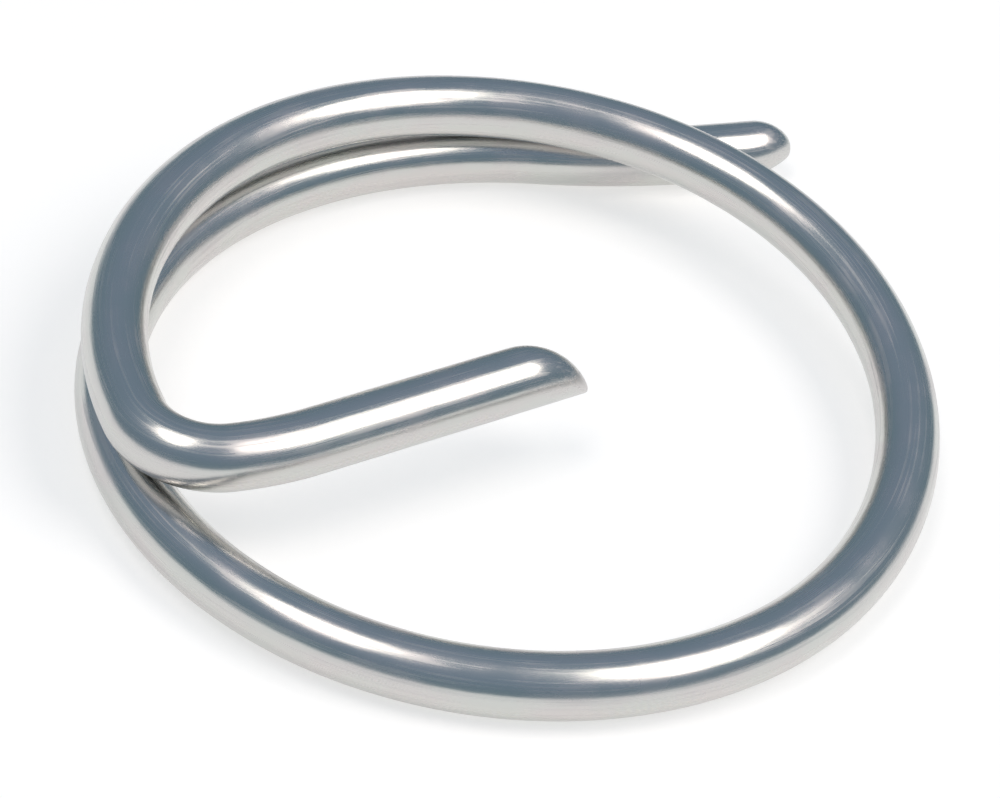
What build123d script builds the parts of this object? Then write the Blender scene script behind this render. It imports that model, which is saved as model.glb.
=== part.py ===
from build123d import *
import math
import os

# Ring cotter: one piece of round spring wire, wound a little over one and a quarter turns.
# Frame: the coil axis is +Z, the table it rests on is z = 0, the leg runs along +X.
# Lengths are millimetres, angles are degrees.

# ---- wire ----
wire_diameter = 1.5
strand_gap = 0.08             # clear space where one strand passes over another

# ---- coil, measured between wire centres ----
coil_long_width = 19.7
coil_short_width = 18.3
coil_long_angle = 27.0        # direction of the long way, from +X
coil_turn_angle = 426.3       # how far the wire is wound after the bend
arch_gap = 0.24               # how far the upper strand lifts off the lower one halfway round
arch_extra_angle = 20.0       # the lift goes on this much past the level part
drop_turn_angle = 147.0       # how far round it takes to come down to the table

# ---- leg that crosses the coil ----
bend_start_angle = 172.3      # place on the coil where the bend to the leg starts
bend_radius = 1.7             # centre of the wire
ease_radius = 8.0             # the wider curve that eases the bend into the leg
ease_angle = 14.0             # how much of the bend it takes over
leg_past_centre = 0.95        # how far the leg's point passes the coil axis

# ---- opening: the coil's wider last part, that slips out from under the upper strand ----
opening_radius = 11.5         # centre of the wire
opening_angle = 45.0          # how far it turns

# ---- tail that leaves the coil ----
tail_splay_angle = 13.0       # how far the tail is turned outwards
tail_splay_radius = 20.0
tail_straight_length = 2.45   # from the end of that turn to the tip

# ---- rounded oblique noses at both ends ----
nose_lean_angle = 37.0        # lean of the noses' plane from upright
leg_nose_reach = 2.0          # length of the side that is cut away
leg_nose_tip = 0.1            # radius of the flat at the point
leg_nose_rounding = 0.07      # its rounded rim
tail_far_reach = 1.0          # the tail's nose is cut on both sides, shorter on the far one
tail_far_drop = 0.5
tail_near_reach = 1.65
tail_nose_tip = 0.25
tail_nose_rounding = 0.2

# ---- counts and fixed angles ----
whole_turn_angle = 360.0
coil_steps = 60               # places that the coil's curve goes through, less one
nose_steps = 9                # circles that a nose is lofted through, less one

# ---- sizes that follow ----
wire_radius = wire_diameter / 2
coil_radius = (coil_long_width + coil_short_width) / 4
coil_stretch = (coil_long_width - coil_short_width) / 4
level_turn_angle = coil_turn_angle + opening_angle - whole_turn_angle
crossing_rise = wire_diameter + strand_gap
leg_nose_drop = wire_diameter - 2 * leg_nose_tip
tail_near_drop = wire_diameter - 2 * tail_nose_tip - tail_far_drop


def strand_height(turn):
    """Height of the wire centre after so many degrees of winding."""
    arch_turn = level_turn_angle + arch_extra_angle
    arch = arch_gap * math.sin(math.pi * min(turn / arch_turn, 1)) ** 2
    share = min(max((turn - level_turn_angle) / drop_turn_angle, 0), 1)
    level = crossing_rise * (1 + math.cos(math.pi * share)) / 2
    return wire_radius + level + arch


def coil_point(turn):
    """Wire centre on the coil after so many degrees of winding."""
    angle = math.radians(bend_start_angle - turn)
    reach = coil_radius + coil_stretch * math.cos(2 * angle - 2 * math.radians(coil_long_angle))
    return Vector(reach * math.cos(angle), reach * math.sin(angle), strand_height(turn))


def coil_direction(turn):
    """Direction of travel along the coil, level."""
    step = coil_point(turn + 0.01) - coil_point(turn - 0.01)
    return Vector(step.X, step.Y, 0).normalized()


def plan_heading(direction):
    """Heading of a direction seen from above, radians."""
    return math.atan2(direction.Y, direction.X)


def arc_points(start, heading, radius, sweep_angle, count):
    """Points of a level arc from a start and a heading, to the left if the sweep is positive."""
    radius = math.copysign(radius, sweep_angle)
    centre_x = start.X - radius * math.sin(heading)
    centre_y = start.Y + radius * math.cos(heading)
    points = []
    for number in range(1, count + 1):
        turned = heading + sweep_angle * number / count
        x = centre_x + radius * math.sin(turned)
        y = centre_y - radius * math.cos(turned)
        points.append(Vector(x, y, start.Z))
    return points


# coil: a smooth curve through evenly spaced places
coil_points = [coil_point(coil_turn_angle * number / coil_steps) for number in range(coil_steps + 1)]
coil_ends = (coil_direction(0), coil_direction(coil_turn_angle))
coil_curve = Spline(*coil_points, tangents=coil_ends, tangent_scalars=(1, 1))

# bend: from the coil backwards, tight at first, then easing until the leg runs along +X
back_heading = plan_heading(-coil_ends[0])
ease = math.radians(ease_angle)
bend_angle = -math.remainder(back_heading, 2 * math.pi) - ease
bend_middle, bend_end = arc_points(coil_points[0], back_heading, bend_radius, bend_angle, 2)
bend_arc = ThreePointArc(bend_end, bend_middle, coil_points[0])
ease_middle, leg_root = arc_points(bend_end, -ease, ease_radius, ease, 2)
ease_arc = ThreePointArc(leg_root, ease_middle, bend_end)

# leg: a level straight along +X, up to where its nose starts
leg_end = Vector(leg_past_centre - leg_nose_reach, leg_root.Y, leg_root.Z)
leg_line = Line(leg_end, leg_root)

# opening: a wider curve, still the coil's way round
end_heading = plan_heading(coil_ends[1])
opening = math.radians(opening_angle)
opening_middle, opening_end = arc_points(
    coil_points[-1],
    end_heading,
    opening_radius,
    -opening,
    2,
)
opening_arc = ThreePointArc(coil_points[-1], opening_middle, opening_end)
splay_heading = end_heading - opening

# tail: a gentle turn outwards, then straight, up to where its nose starts
splay = math.radians(tail_splay_angle)
splay_middle, tail_root = arc_points(opening_end, splay_heading, tail_splay_radius, splay, 2)
splay_arc = ThreePointArc(opening_end, splay_middle, tail_root)
tail_heading = splay_heading + splay
tail_direction = Vector(math.cos(tail_heading), math.sin(tail_heading), 0)
tail_end = tail_root + tail_direction * (tail_straight_length - tail_near_reach)
tail_line = Line(tail_root, tail_end)

# the round wire follows the whole centreline
centreline_pieces = (
    leg_line,
    ease_arc,
    bend_arc,
    coil_curve,
    opening_arc,
    splay_arc,
    tail_line,
)
centreline = Wire([piece.edge() for piece in centreline_pieces])
section_plane = Plane(origin=leg_end, z_dir=Vector(-1, 0, 0))
round_wire = sweep(section_plane * Circle(wire_radius), path=centreline)


def arc_drop(distance, reach, drop):
    """Drop of an arc that starts level and falls by drop over reach."""
    if distance <= 0 or drop <= 0:
        return 0
    radius = (reach * reach + drop * drop) / (2 * drop)
    return radius - math.sqrt(radius * radius - distance * distance)


def nose(root, along, away, far_reach, far_drop, near_reach, near_drop):
    """Oblique blunt end: circles that shrink between two side arcs."""
    length = max(far_reach, near_reach)
    sections = []
    for number in range(nose_steps + 1):
        distance = length * math.sin(math.pi / 2 * number / nose_steps)
        top = wire_radius - arc_drop(distance - (length - far_reach), far_reach, far_drop)
        bottom = -wire_radius + arc_drop(distance - (length - near_reach), near_reach, near_drop)
        centre = root + along * distance + away * ((top + bottom) / 2)
        sections.append(Plane(origin=centre, z_dir=along) * Circle((top - bottom) / 2))
    return loft(sections)


def round_flat(solid, flat_place, rounding):
    """Round the rim of the small flat nearest to a place."""
    flat = solid.faces().filter_by(GeomType.PLANE).sort_by_distance(flat_place)[0]
    return solid.fillet(rounding, flat.edges())


lean = math.radians(nose_lean_angle)

# the leg's nose: one side stays straight to the point
leg_along = Vector(1, 0, 0)
leg_away = Vector(0, math.sin(lean), math.cos(lean))
leg_nose = nose(leg_end, leg_along, leg_away, leg_nose_reach, leg_nose_drop, 0, 0)

# the tail's nose: blunter, cut on both sides
tail_side = Vector(-math.sin(tail_heading), math.cos(tail_heading), 0)
tail_away = tail_side * math.sin(lean) + Vector(0, 0, math.cos(lean))
tail_nose = nose(
    tail_end,
    tail_direction,
    tail_away,
    tail_far_reach,
    tail_far_drop,
    tail_near_reach,
    tail_near_drop,
)

ring_wire = (round_wire + leg_nose + tail_nose).solid()
ring_wire = round_flat(ring_wire, leg_end + leg_along * leg_nose_reach, leg_nose_rounding)
ring_wire = round_flat(ring_wire, tail_end + tail_direction * tail_near_reach, tail_nose_rounding)

os.makedirs("parts", exist_ok=True)
export_step(ring_wire, "parts/ring_wire.step")

box = ring_wire.bounding_box()
print("valid", ring_wire.is_valid, "volume", round(ring_wire.volume, 2), "box", box.min, box.max)
print("centreline", round(centreline.length, 2))
print("leg centre", leg_root, "leg end", leg_end, "tail end", tail_end, "tail direction", tail_direction)
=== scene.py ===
# %% [markdown]
# # A ring cotter in bright stainless wire
# A ring cotter is one length of springy stainless wire, wound about one and a third times round.
# One end crosses the ring as a leg, which goes through the cross hole of a pin, and the ring then
# closes round the pin and keeps the leg in. The CAD frame already has the true shape. Here it gets
# a finer skin, the finish of bright drawn wire, and a small studio to be seen in.

# %% Load the frame and keep its box
import math

import bmesh
import bpy
from mathutils import Matrix, Vector


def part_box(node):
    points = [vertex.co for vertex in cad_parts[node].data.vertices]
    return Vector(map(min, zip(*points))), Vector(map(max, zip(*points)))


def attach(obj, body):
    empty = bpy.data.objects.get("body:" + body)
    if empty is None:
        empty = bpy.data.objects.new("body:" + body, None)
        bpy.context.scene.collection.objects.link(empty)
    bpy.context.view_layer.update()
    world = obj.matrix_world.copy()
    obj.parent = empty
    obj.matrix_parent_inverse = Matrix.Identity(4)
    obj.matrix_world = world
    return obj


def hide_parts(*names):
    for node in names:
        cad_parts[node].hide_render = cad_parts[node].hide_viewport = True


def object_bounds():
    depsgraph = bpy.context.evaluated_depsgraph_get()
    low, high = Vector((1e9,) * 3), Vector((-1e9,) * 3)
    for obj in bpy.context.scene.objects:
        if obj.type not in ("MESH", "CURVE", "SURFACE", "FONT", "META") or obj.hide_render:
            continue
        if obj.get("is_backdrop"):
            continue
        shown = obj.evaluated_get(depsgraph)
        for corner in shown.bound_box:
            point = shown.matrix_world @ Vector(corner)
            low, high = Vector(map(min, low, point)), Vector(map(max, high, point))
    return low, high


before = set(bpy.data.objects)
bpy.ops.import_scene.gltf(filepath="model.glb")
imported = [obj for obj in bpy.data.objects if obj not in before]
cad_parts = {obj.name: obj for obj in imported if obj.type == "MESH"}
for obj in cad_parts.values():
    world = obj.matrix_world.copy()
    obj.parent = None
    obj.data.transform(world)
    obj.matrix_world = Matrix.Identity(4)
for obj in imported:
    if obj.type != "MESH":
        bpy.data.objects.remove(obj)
cad_low, cad_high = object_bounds()
metre_per_mm = 0.001
wire_low, wire_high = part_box("ring_wire")
wire_span = [round(side / metre_per_mm, 2) for side in wire_high - wire_low]
print("the wire in the frame spans", wire_span, "mm")

# %% [markdown]
# ## The line of the wire
# The real one is bent on a former: a straight leg, a tight bend, a long winding turn that starts
# one wire above the table and comes down to it, and a short tail kicked outwards. A curve drawn by
# eye would drift from the frame, so the same few sizes that made the frame make this line, apart
# from the reach of the leg's nose, and each stretch is worked out from them. Lengths are
# millimetres here and become metres at the end.

# %% The sizes of the winding
wire_radius = 0.75
strand_gap = 0.08  # clear space where one strand passes over another
coil_radius = 9.5  # to the centre of the wire, as the radii below are
coil_stretch = 0.35  # the coil is this much wider one way, and narrower the other
coil_long_angle = math.radians(27.0)
coil_turn = math.radians(426.3)
opening_radius = 11.5
opening_angle = math.radians(45.0)
level_turn = coil_turn + opening_angle - math.tau
arch_turn = level_turn + math.radians(20.0)
arch_gap = 0.24  # how far the upper strand lifts off the lower one halfway round
drop_turn = math.radians(147.0)
bend_start = math.radians(172.3)
bend_radius = 1.7
ease_radius = 8.0
ease_angle = math.radians(14.0)
leg_past_centre = 0.95  # how far the leg's point passes the coil's axis
splay_angle = math.radians(13.0)
splay_radius = 20.0
tail_straight = 2.45
course_step = 0.0002  # radians each way, small enough to give the direction at a place


def coil_place(turn):
    """Centre of the wire on the coil after so much winding."""
    angle = bend_start - turn
    reach = coil_radius + coil_stretch * math.cos(2 * angle - 2 * coil_long_angle)
    share = min(max((turn - level_turn) / drop_turn, 0), 1)
    lift = (2 * wire_radius + strand_gap) * (1 + math.cos(math.pi * share)) / 2
    lift += arch_gap * math.sin(math.pi * min(turn / arch_turn, 1)) ** 2
    return Vector((reach * math.cos(angle), reach * math.sin(angle), wire_radius + lift))


def coil_course(turn, level=False):
    """Direction of travel on the coil."""
    step = coil_place(turn + course_step) - coil_place(turn - course_step)
    if level:
        step.z = 0
    return step.normalized()


start_height, end_height = coil_place(0).z, coil_place(coil_turn).z
print("the coil drops from", round(start_height, 2), "to", round(end_height, 2), "mm")

# %% [markdown]
# ## Stations along the wire
# A station is a place, a course and a radius: where a ring of the wire's skin goes, which way it
# faces and how big it is. Straight stretches need few, bends need one every few degrees, so that
# the bright reflections run smoothly. The real ends are cropped at a slant and softened in a
# barrelling drum. They could be cut off with a plane and bevelled, but that rounds only their
# edges. Here the rings shrink and shift to one side, which rounds each nose over its whole length.

# %% A helper for level arcs
def level_arc(start, course, radius, sweep, count):
    """Places and courses of a level arc, to the left if the sweep is positive."""
    radius = math.copysign(radius, sweep)
    heading = math.atan2(course.y, course.x)
    middle = start + Vector((-math.sin(heading), math.cos(heading), 0)) * radius
    stations = []
    for number in range(1, count + 1):
        turned = heading + sweep * number / count
        place = middle + Vector((math.sin(turned), -math.cos(turned), 0)) * radius
        stations.append((place, Vector((math.cos(turned), math.sin(turned), 0))))
    return stations


quarter_place, _ = level_arc(Vector(), Vector((1, 0, 0)), 1, math.pi / 2, 4)[-1]
print("a quarter turn to the left from +X ends at", [round(side, 3) for side in quarter_place])


# %% A helper for the noses
def side_drop(distance, reach, drop):
    """How far an arc has fallen that starts level and falls by drop over reach."""
    if distance <= 0 or drop <= 0:
        return 0
    radius = (reach * reach + drop * drop) / (2 * drop)
    return radius - math.sqrt(radius * radius - distance * distance)


def nose(root, along, away, far, near, last_step, count):
    """Stations of a nose, from its root to its tip. far and near are (reach, drop) of its sides.

    The stations draw closer towards the tip, but the last step is long enough to round its rim.
    """
    length = max(far[0], near[0])
    shares = [math.sin(math.pi / 2 * number / count) for number in range(1, count + 1)]
    stations = []
    for distance in [(length - last_step) * share for share in shares] + [length]:
        top = wire_radius - side_drop(distance - length + far[0], *far)
        bottom = -wire_radius + side_drop(distance - length + near[0], *near)
        centre = root + along * distance + away * (top + bottom) / 2
        stations.append((centre, along, (top - bottom) / 2))
    return stations


print("an arc that falls 1 over 2 has fallen", round(side_drop(1, 2, 1), 2), "halfway")

# %% The sizes of the noses, and how many stations each stretch gets
nose_lean = math.radians(37.0)  # lean of the noses' plane from upright
leg_nose_far = (1.78, 1.3)  # reach and drop. The frame's reaches 2.0, and this shoulder is fuller
leg_nose_near = (0, 0)  # this side stays straight to the point
tail_nose_far = (1.0, 0.5)
tail_nose_near = (1.65, 0.5)
leg_last_step = 0.07
tail_last_step = 0.14

leg_nose_steps, leg_steps, ease_steps, bend_steps = 28, 10, 12, 32
coil_steps, opening_steps, splay_steps = 304, 36, 10
tail_steps, tail_nose_steps = 4, 24
print("on the coil a station comes every", round(math.degrees(coil_turn) / coil_steps, 2), "degrees")

# %% The leg with its bend, and its nose
start_course = coil_course(0, level=True)
back_heading = math.atan2(-start_course.y, -start_course.x)
bend_angle = -math.remainder(back_heading, math.tau) - ease_angle
bend = level_arc(coil_place(0), -start_course, bend_radius, bend_angle, bend_steps)
bend += level_arc(*bend[-1], ease_radius, ease_angle, ease_steps)
leg_root = bend[-1][0]
leg_course = Vector((1, 0, 0))
leg_end = Vector((leg_past_centre - leg_nose_far[0], leg_root.y, leg_root.z))
leg_away = Vector((0, math.sin(nose_lean), math.cos(nose_lean)))
leg_nose = nose(
    leg_end, leg_course, leg_away, leg_nose_far, leg_nose_near, leg_last_step, leg_nose_steps
)
print("the leg is straight for", round((leg_end - leg_root).length, 2), "mm")

# %% The opening, the splay and the tail, and its nose
end_course = coil_course(coil_turn, level=True)
opening = level_arc(
    coil_place(coil_turn), end_course, opening_radius, -opening_angle, opening_steps
)
splay = level_arc(*opening[-1], splay_radius, splay_angle, splay_steps)
tail_root, tail_course = splay[-1]
tail_end = tail_root + tail_course * (tail_straight - tail_nose_near[0])
tail_side = Vector((-tail_course.y, tail_course.x, 0))
tail_away = tail_side * math.sin(nose_lean) + Vector((0, 0, math.cos(nose_lean)))
tail_nose = nose(
    tail_end, tail_course, tail_away, tail_nose_far, tail_nose_near, tail_last_step, tail_nose_steps
)
print("the tail is straight for", round((tail_end - tail_root).length, 2), "mm")

# %% Join all the stations, from the leg's point to the tail's end
# each station is (place, course of travel from the leg's point on, radius)
stations = [(place, -course, radius) for place, course, radius in reversed(leg_nose)]
for number in range(leg_steps):
    stations.append((leg_end.lerp(leg_root, number / leg_steps), -leg_course, wire_radius))
stations += [(place, -course, wire_radius) for place, course in reversed(bend)]
for number in range(coil_steps + 1):
    turn = coil_turn * number / coil_steps
    course = coil_course(turn, level=number in (0, coil_steps))
    stations.append((coil_place(turn), course, wire_radius))
stations += [(place, course, wire_radius) for place, course in opening + splay]
for number in range(1, tail_steps + 1):
    stations.append((tail_root.lerp(tail_end, number / tail_steps), tail_course, wire_radius))
stations += tail_nose

wire_length = sum((b[0] - a[0]).length for a, b in zip(stations, stations[1:]))
print(len(stations), "stations over", round(wire_length, 2), "mm of wire")

# %% [markdown]
# ## The skin of the wire
# Wire is a round bar pushed along a line, so the mesh is made the same way: one circle is
# extruded, turned a little and moved on, station by station. Each ring is carried over from the
# last without spinning, so nothing twists. A curve with a round bevel would give a tube too, but
# it couldn't shift the rings of the noses to one side. Each point also keeps where it was on the
# straight wire, before the bending, because the marks of the drawing die run along that.

# %% Start with a circle at the leg's point
ring_points = 72
mesh = bmesh.new()
straight = mesh.verts.layers.float_vector.new("straight_wire")
rim_angle = mesh.verts.layers.float.new("rim_angle")


def turn_from(course_a, course_b):
    """The smallest turn from one course to the next."""
    return course_a.rotation_difference(course_b).to_matrix().to_4x4()


def keep_straight_place(ring, radius, travelled):
    """Keep on each point of a ring where it was on the straight wire."""
    for vert in ring:
        angle = vert[rim_angle]
        vert[straight] = Vector((radius * math.cos(angle), radius * math.sin(angle), travelled))


place, course, radius = stations[0]
circle = bmesh.ops.create_circle(mesh, segments=ring_points, radius=radius, cap_ends=False)
ring = circle["verts"]
for vert in ring:
    vert[rim_angle] = math.atan2(vert.co.y, vert.co.x)
facing = turn_from(Vector((0, 0, 1)), course)
bmesh.ops.transform(mesh, matrix=Matrix.Translation(place) @ facing, verts=ring)
travelled = 0.0
keep_straight_place(ring, radius, travelled)
first_rim = list(mesh.edges)
print("the first ring has", len(first_rim), "edges and a radius of", round(radius, 3), "mm")

# %% Extrude it through the other stations
rim = first_rim
for next_place, next_course, next_radius in stations[1:]:
    grown = bmesh.ops.extrude_edge_only(mesh, edges=rim)["geom"]
    ring = [item for item in grown if isinstance(item, bmesh.types.BMVert)]
    ring_set = set(ring)
    grown_edges = [item for item in grown if isinstance(item, bmesh.types.BMEdge)]
    rim = [edge for edge in grown_edges if set(edge.verts) <= ring_set]
    turned = Matrix.Translation(next_place) @ turn_from(course, next_course)
    carry = turned @ Matrix.Scale(next_radius / radius, 4) @ Matrix.Translation(-place)
    bmesh.ops.transform(mesh, matrix=carry, verts=ring)
    travelled += (next_place - place).length
    keep_straight_place(ring, next_radius, travelled)
    place, course, radius = next_place, next_course, next_radius

print("skin:", len(mesh.verts), "points,", len(mesh.faces), "faces")

# %% Close both tips and round their rims
leg_tip_rounding = 0.055
tail_tip_rounding = 0.12
for tip_rim, rounding in ((first_rim, leg_tip_rounding), (rim, tail_tip_rounding)):
    bmesh.ops.edgenet_fill(mesh, edges=tip_rim)
    bmesh.ops.bevel(
        mesh,
        geom=tip_rim,
        offset=rounding,
        offset_type="OFFSET",
        affect="EDGES",
        segments=4,
        profile=0.5,
        material=-1,
        clamp_overlap=True,
    )
bmesh.ops.recalc_face_normals(mesh, faces=mesh.faces)
open_edges = [edge for edge in mesh.edges if not edge.is_manifold]
print("open edges:", len(open_edges), "volume:", round(mesh.calc_volume(), 2), "mm3")

# %% Put the skin in the frame
bmesh.ops.scale(mesh, vec=(metre_per_mm, metre_per_mm, metre_per_mm), verts=mesh.verts)
for face in mesh.faces:
    face.smooth = True
mesh.verts.layers.float.remove(rim_angle)
skin = bpy.data.meshes.new("drawn_wire")
mesh.to_mesh(skin)
mesh.free()
drawn_wire = bpy.data.objects.new("drawn_wire", skin)
bpy.context.scene.collection.objects.link(drawn_wire)
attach(drawn_wire, "root")
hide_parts("ring_wire")
print(drawn_wire.name, "rides on root and stands for ring_wire")

# %% [markdown]
# ## Bright drawn stainless
# Spring wire of stainless steel is pulled cold through a polished die. That leaves a bright grey
# skin, faintly warm, with hairlines along the wire too fine to count. Tumbling then softens them
# and adds small dimples. Painting the marks on as colour would look flat, because bare metal shows
# only what it reflects. So the finish is a metal with a low roughness, and the marks disturb that
# roughness and the surface's slope a little.

# %% Colour and node helpers
def from_hex(code):
    """An sRGB hex colour as linear RGBA."""
    parts = [int(code[place : place + 2], 16) / 255 for place in (0, 2, 4)]
    linear = [
        part / 12.92 if part <= 0.04045 else ((part + 0.055) / 1.055) ** 2.4 for part in parts
    ]
    return (*linear, 1.0)


def add_node(owner, kind, settings=(), **links):
    """A node of a material or world, with its settings, and its inputs set or linked."""
    node = owner.node_tree.nodes.new(kind)
    for name, value in dict(settings).items():
        setattr(node, name, value)
    for name, value in links.items():
        socket = node.inputs[name.replace("_", " ")]
        if isinstance(value, bpy.types.NodeSocket):
            owner.node_tree.links.new(value, socket)
        else:
            socket.default_value = value
    return node


print("half-way grey is", round(from_hex("808080")[0], 3), "in linear light")

# %% Marks on the wire, laid out along the straight wire in millimetres
stainless = bpy.data.materials.new("bright_drawn_stainless")
stainless.use_nodes = True
stainless.node_tree.nodes.clear()

# die lines, two or three times coarser than real ones, so that they show
hairline_width, hairline_length = 0.03, 2.5
# patches that the tumbling left duller or brighter
cloud_width, cloud_length = 0.35, 0.8
# where neighbours in the drum have knocked
dimple_width, dimple_length = 0.2, 0.4


def marks(width, length, detail):
    """Noise drawn out along the wire, from marks so wide and so long in millimetres."""
    bar = add_node(stainless, "ShaderNodeAttribute", {"attribute_name": "straight_wire"})
    drawn = add_node(
        stainless,
        "ShaderNodeMapping",
        Vector=bar.outputs["Vector"],
        Scale=(1, 1, width / length),
    )
    # a mark and the clear space beside it make one swing of the noise
    noise = add_node(
        stainless,
        "ShaderNodeTexNoise",
        Vector=drawn.outputs["Vector"],
        Scale=1 / (2 * width),
        Detail=detail,
    )
    return noise.outputs["Fac"]


hairlines = marks(hairline_width, hairline_length, 3)
clouds = marks(cloud_width, cloud_length, 2)
dimples = marks(dimple_width, dimple_length, 1)
print("there is room for", round(math.pi * wire_radius / hairline_width), "hairlines round the wire")

# %% How rough it is from place to place
# the polished ground is duller in some patches, and a line in a dull patch is duller still, so
# the highlights end in streaks
bright_patch, dull_patch = 0.21, 0.28
faint_line, strong_line = 0.16, 0.24
smooth_step = {"interpolation_type": "SMOOTHSTEP"}
ground = add_node(
    stainless,
    "ShaderNodeMapRange",
    smooth_step,
    Value=clouds,
    From_Min=0.35,
    From_Max=0.7,
    To_Min=bright_patch,
    To_Max=dull_patch,
)
scuffed = add_node(
    stainless,
    "ShaderNodeMapRange",
    smooth_step,
    Value=clouds,
    From_Min=0.42,
    From_Max=0.62,
    To_Min=faint_line,
    To_Max=strong_line,
)
streaked = add_node(
    stainless,
    "ShaderNodeMapRange",
    smooth_step,
    Value=hairlines,
    From_Min=0.48,
    From_Max=0.75,
    To_Min=0.0,
    To_Max=scuffed.outputs["Result"],
)
roughness = add_node(stainless, "ShaderNodeMath", {"operation": "ADD"})
stainless.node_tree.links.new(ground.outputs["Result"], roughness.inputs[0])
stainless.node_tree.links.new(streaked.outputs["Result"], roughness.inputs[1])
print("roughness runs from", bright_patch, "to", round(dull_patch + strong_line, 2))

# %% Its colour and its fine relief
# a faintly warm grey, a little greener or pinker from patch to patch
patch = add_node(
    stainless,
    "ShaderNodeMapRange",
    smooth_step,
    Value=clouds,
    From_Min=0.3,
    From_Max=0.7,
)
tint = add_node(stainless, "ShaderNodeMix", {"data_type": "RGBA"}, Factor=patch.outputs["Result"])
# a mix has inputs A and B for each kind of value, so the two colours go by number
mix_a, mix_b, mix_result = 6, 7, 2
tint.inputs[mix_a].default_value = from_hex("CBCCC8")
tint.inputs[mix_b].default_value = from_hex("CFCBC9")

# dimples a few micrometres deep make the highlights' edges waver, and hairlines fray them. Both
# depths are in metres
dimple_depth, hairline_depth = 4.8e-6, 1.0e-6
dented = add_node(
    stainless,
    "ShaderNodeBump",
    Height=dimples,
    Strength=1.0,
    Distance=dimple_depth,
)
scored = add_node(
    stainless,
    "ShaderNodeBump",
    Height=hairlines,
    Strength=1.0,
    Distance=hairline_depth,
    Normal=dented.outputs["Normal"],
)
print("relief:", round(1e6 * dimple_depth, 1), "and", round(1e6 * hairline_depth, 1), "micrometres")

# %% The stainless finish
surface = add_node(
    stainless,
    "ShaderNodeBsdfPrincipled",
    Base_Color=tint.outputs[mix_result],
    Metallic=1.0,
    Roughness=roughness.outputs["Value"],
    Normal=scored.outputs["Normal"],
)
add_node(stainless, "ShaderNodeOutputMaterial", Surface=surface.outputs["BSDF"])
skin.materials.append(stainless)
print("the stainless finish has", len(stainless.node_tree.nodes), "nodes")

# %% [markdown]
# ## The table and the room
# Small bright parts are often shown on a light table: a white opal sheet lit faintly from below,
# so that shadows stay pale. A plain white floor would need stronger lights to look as white, and
# the metal would glare. The wire shows whatever is around it, so the room matters as much as the
# finish. Modelled walls would show their corners in the wire as lines. So the room is one smooth
# sweep of colour instead, dim blue-grey and lighter towards the ceiling.

# %% The light table
table_radius = 1.2
sheet_mesh = bmesh.new()
bmesh.ops.create_circle(sheet_mesh, segments=64, radius=table_radius, cap_ends=True)
sheet_shape = bpy.data.meshes.new("light_table")
sheet_mesh.to_mesh(sheet_shape)
sheet_mesh.free()
light_table = bpy.data.objects.new("light_table", sheet_shape)
bpy.context.scene.collection.objects.link(light_table)
light_table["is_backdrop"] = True

# matt opal acrylic: what it reflects and what shines through it each make up about half of
# its white
opal_acrylic = bpy.data.materials.new("opal_acrylic")
opal_acrylic.use_nodes = True
opal_acrylic.node_tree.nodes.clear()
sheet = add_node(
    opal_acrylic,
    "ShaderNodeBsdfPrincipled",
    Base_Color=from_hex("CACACA"),
    Roughness=0.9,
    Emission_Color=from_hex("C5C4C2"),
    Emission_Strength=1.0,
)
add_node(opal_acrylic, "ShaderNodeOutputMaterial", Surface=sheet.outputs["BSDF"])
sheet_shape.materials.append(opal_acrylic)
print("the light table reaches", table_radius, "m each way")

# %% The dim room
room = bpy.data.worlds.new("dim_room")
bpy.context.scene.world = room
room.use_nodes = True
outwards = add_node(room, "ShaderNodeTexCoord")
heights = add_node(room, "ShaderNodeSeparateXYZ", Vector=outwards.outputs["Generated"])
walls_to_ceiling = add_node(
    room,
    "ShaderNodeMapRange",
    Value=heights.outputs["Z"],
    From_Min=0.0,
    From_Max=0.75,
)
shade = add_node(
    room,
    "ShaderNodeMix",
    {"data_type": "RGBA"},
    Factor=walls_to_ceiling.outputs["Result"],
)
shade.inputs[mix_a].default_value = from_hex("708794")
shade.inputs[mix_b].default_value = from_hex("8294A8")
background = room.node_tree.nodes["Background"]
room.node_tree.links.new(shade.outputs[mix_result], background.inputs["Color"])
background.inputs["Strength"].default_value = 1.0
print("the room's colour is worked out by", len(room.node_tree.nodes), "nodes")

# %% [markdown]
# ## Two soft panels
# Round wire shows a light as a bright line along its side, which starts and ends where the light
# does. A few small lamps would give hard specks instead, so two large area lights stand half a
# metre away, one on each side of the camera. They are oval because an oval has no corners to show
# in the metal. Each one's place is given by how far round from the camera it stands and how high,
# both as angles.

# %% Directions round the part
camera_azimuth = -41.685
camera_elevation = 37.72


def direction(azimuth, elevation):
    """Unit vector from the part towards something, azimuth 0 being along -Y."""
    a, e = math.radians(azimuth), math.radians(elevation)
    return Vector((math.sin(a) * math.cos(e), -math.cos(a) * math.cos(e), math.sin(e)))


towards_camera = direction(camera_azimuth, camera_elevation)
print("the camera lies towards", [round(side, 3) for side in towards_camera])

# %% The panels
panel_distance = 0.5  # metres
panel_brightness = 3.6
warm_white = (1.10, 1.0, 0.91)  # red, green and blue, to set off the bluish room


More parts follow.
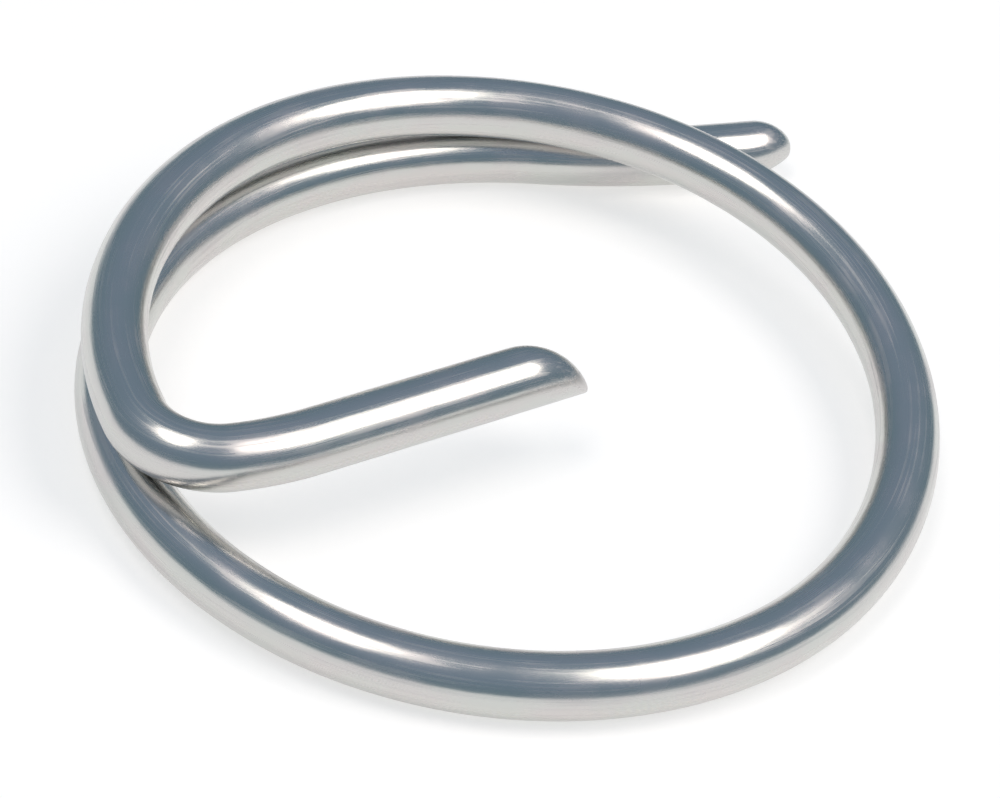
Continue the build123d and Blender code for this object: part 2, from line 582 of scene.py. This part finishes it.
def soft_panel(name, from_camera, elevation, width, height, turn):
    """An oval soft light that faces the part. turn is about its own middle."""
    towards = direction(camera_azimuth + from_camera, elevation)
    across = direction(camera_azimuth + 90, 0)
    across = (across - towards * across.dot(towards)).normalized()
    facing = Matrix((across, towards.cross(across), towards)).transposed().to_4x4()
    turned = Matrix.Rotation(math.radians(turn), 4, "Z")
    oval_area = math.pi / 4 * width * height
    lamp = bpy.data.lights.new(name, "AREA")
    lamp.shape = "ELLIPSE"
    lamp.color = warm_white
    lamp.size = width
    lamp.size_y = height
    lamp.energy = panel_brightness * math.pi * oval_area
    panel = bpy.data.objects.new(name, lamp)
    panel.matrix_world = Matrix.Translation(towards * panel_distance) @ facing @ turned
    bpy.context.scene.collection.objects.link(panel)
    print(name, "gives", round(lamp.energy, 2), "W over", width, "by", height, "m")


soft_panel("right_panel", from_camera=88.5, elevation=54.8, width=0.26, height=0.42, turn=34.0)
soft_panel("left_panel", from_camera=-59.5, elevation=70.0, width=0.20, height=0.33, turn=-11.5)

# %% [markdown]
# ## The camera
# The camera stands less than a tenth of a metre away, so the near side of the ring looks larger
# than the far side, as it does to an eye brought close. It looks at a point near the coil's axis.
# It could be turned by hand until the view looks right, but a direction, a distance and a roll say
# the same in numbers that can be changed one at a time.

# %% The camera
aim = Vector((0.411, 0.884, 0)) * metre_per_mm
camera_distance = 0.087517  # metres
camera_roll = math.radians(11.681)

lens = bpy.data.cameras.new("camera")
lens.sensor_width = 36.0
lens.lens = 133.83
lens.clip_start = 0.005
lens.clip_end = 10
camera = bpy.data.objects.new("camera", lens)
bpy.context.scene.collection.objects.link(camera)
camera_place = Matrix.Translation(aim + towards_camera * camera_distance)
level_view = (-towards_camera).to_track_quat("-Z", "Y").to_matrix().to_4x4()
camera.matrix_world = camera_place @ level_view @ Matrix.Rotation(camera_roll, 4, "Z")
bpy.context.scene.camera = camera
bpy.context.scene.view_settings.view_transform = "Standard"
print("the camera sees", round(math.degrees(lens.angle), 1), "degrees across")

# %% [markdown]
# ## The last look at the sizes
# A finer skin could swell or shrink the part without anyone seeing it. Its box is therefore
# measured again and kept beside the frame's, where the two are easy to compare.

# %% Write the sizes down and finish
bpy.context.view_layer.update()
low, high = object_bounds()
for side, new, old in (("low", low, cad_low), ("high", high, cad_high)):
    print("visual minus CAD,", side, [round(1e6 * (a - b), 1) for a, b in zip(new, old)], "micrometres")
